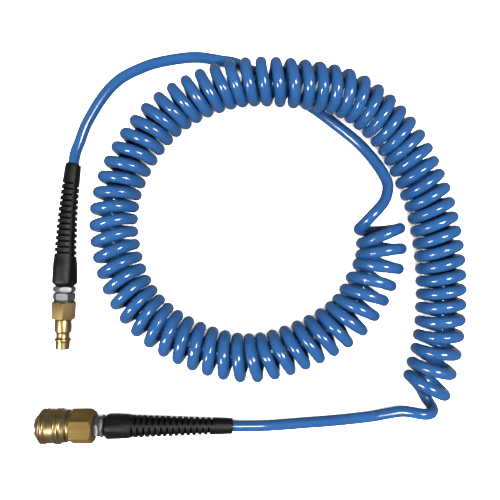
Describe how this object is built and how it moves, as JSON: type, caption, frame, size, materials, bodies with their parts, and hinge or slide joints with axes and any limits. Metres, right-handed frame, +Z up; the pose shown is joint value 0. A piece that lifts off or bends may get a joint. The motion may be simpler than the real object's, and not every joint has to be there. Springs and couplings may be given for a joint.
{
  "type": "coiled air hose",
  "caption": "Blue coiled polyurethane air hose in a large loop, with a brass quick coupler and a brass quick plug on swivelling ends with black bend reliefs.",
  "frame": {"origin": "on the floor, under the centre of the box round the two end fittings with their bend reliefs", "axes": "+Z up from the floor it lies on; the coupler lies along X with its mouth facing -X; the plug lies almost along Y with its tip facing -Y"},
  "size_m": [0.3058, 0.2848, 0.0426],
  "materials": {
    "blue_polyurethane": "gloss",
    "black_rubber": "satin",
    "seal_rubber": "matte",
    "brass": "satin",
    "nickel": "gloss",
    "spring_steel": "satin"
  },
  "bodies": {
    "hose": {"hose_tail_plug_side": "blue_polyurethane", "hose_coil": "blue_polyurethane", "hose_tail_coupler_side": "blue_polyurethane", "plug_hose_end": "blue_polyurethane", "plug_clamp_ferrule": "nickel", "plug_hose_barb": "nickel", "plug_swivel_circlip": "spring_steel", "plug_swivel_seal": "seal_rubber", "plug_bend_relief": "black_rubber", "coupler_hose_end": "blue_polyurethane", "coupler_clamp_ferrule": "nickel", "coupler_hose_barb": "nickel", "coupler_swivel_circlip": "spring_steel", "coupler_swivel_seal": "seal_rubber", "coupler_bend_relief": "black_rubber"},
    "plug": {"plug_nipple": "brass", "plug_thread_washer": "seal_rubber", "plug_swivel_stem": "nickel"},
    "coupler": {"coupler_adapter": "brass", "coupler_barrel": "brass", "adapter_seal": "seal_rubber", "plug_seal": "seal_rubber", "sleeve_retaining_ring": "spring_steel", "valve_guide": "brass", "valve_spring": "spring_steel", "sleeve_spring": "spring_steel", "coupler_thread_washer": "seal_rubber", "coupler_swivel_stem": "nickel"},
    "sleeve": {"coupler_sleeve": "brass"},
    "valve": {"valve_poppet": "brass", "valve_seal": "seal_rubber"},
    "ball_1": {"lock_ball_1": "spring_steel"},
    "ball_2": {"lock_ball_2": "spring_steel"},
    "ball_3": {"lock_ball_3": "spring_steel"},
    "ball_4": {"lock_ball_4": "spring_steel"},
    "ball_5": {"lock_ball_5": "spring_steel"},
    "ball_6": {"lock_ball_6": "spring_steel"}
  },
  "joints": [
    {"name": "plug_swivel", "type": "hinge", "parent": "hose", "child": "plug", "pos_m": [-0.0521, -0.0336, 0.0093], "axis": [0.0314, 0.9995, 0], "continuous": true},
    {"name": "coupler_swivel", "type": "hinge", "parent": "hose", "child": "coupler", "pos_m": [-0.0692, -0.0884, 0.01265], "axis": [1, 0, 0], "continuous": true},
    {"name": "sleeve_slide", "type": "slide", "parent": "coupler", "child": "sleeve", "axis": [1, 0, 0], "range_m": [0, 0.0026], "stiffness_N_per_m": 1800, "springref_m": -0.004, "deforming": ["sleeve_spring"]},
    {"name": "valve_slide", "type": "slide", "parent": "coupler", "child": "valve", "axis": [1, 0, 0], "range_m": [0, 0.005], "stiffness_N_per_m": 700, "springref_m": -0.003, "deforming": ["valve_spring"]},
    {"name": "ball_1_slide", "type": "slide", "parent": "coupler", "child": "ball_1", "axis": [0, 0.866, 0.5], "range_m": [0, 0.0012]},
    {"name": "ball_2_slide", "type": "slide", "parent": "coupler", "child": "ball_2", "axis": [0, 0, 1], "range_m": [0, 0.0012]},
    {"name": "ball_3_slide", "type": "slide", "parent": "coupler", "child": "ball_3", "axis": [0, -0.866, 0.5], "range_m": [0, 0.0012]},
    {"name": "ball_4_slide", "type": "slide", "parent": "coupler", "child": "ball_4", "axis": [0, -0.866, -0.5], "range_m": [0, 0.0012]},
    {"name": "ball_5_slide", "type": "slide", "parent": "coupler", "child": "ball_5", "axis": [0, 0, -1], "range_m": [0, 0.0012]},
    {"name": "ball_6_slide", "type": "slide", "parent": "coupler", "child": "ball_6", "axis": [0, 0.866, -0.5], "range_m": [0, 0.0012]}
  ],
  "couplings": [
    {"joint": "ball_1_slide", "follows": "sleeve_slide", "ratio": 0.4614},
    {"joint": "ball_2_slide", "follows": "sleeve_slide", "ratio": 0.4614},
    {"joint": "ball_3_slide", "follows": "sleeve_slide", "ratio": 0.4614},
    {"joint": "ball_4_slide", "follows": "sleeve_slide", "ratio": 0.4614},
    {"joint": "ball_5_slide", "follows": "sleeve_slide", "ratio": 0.4614},
    {"joint": "ball_6_slide", "follows": "sleeve_slide", "ratio": 0.4614}
  ]
}
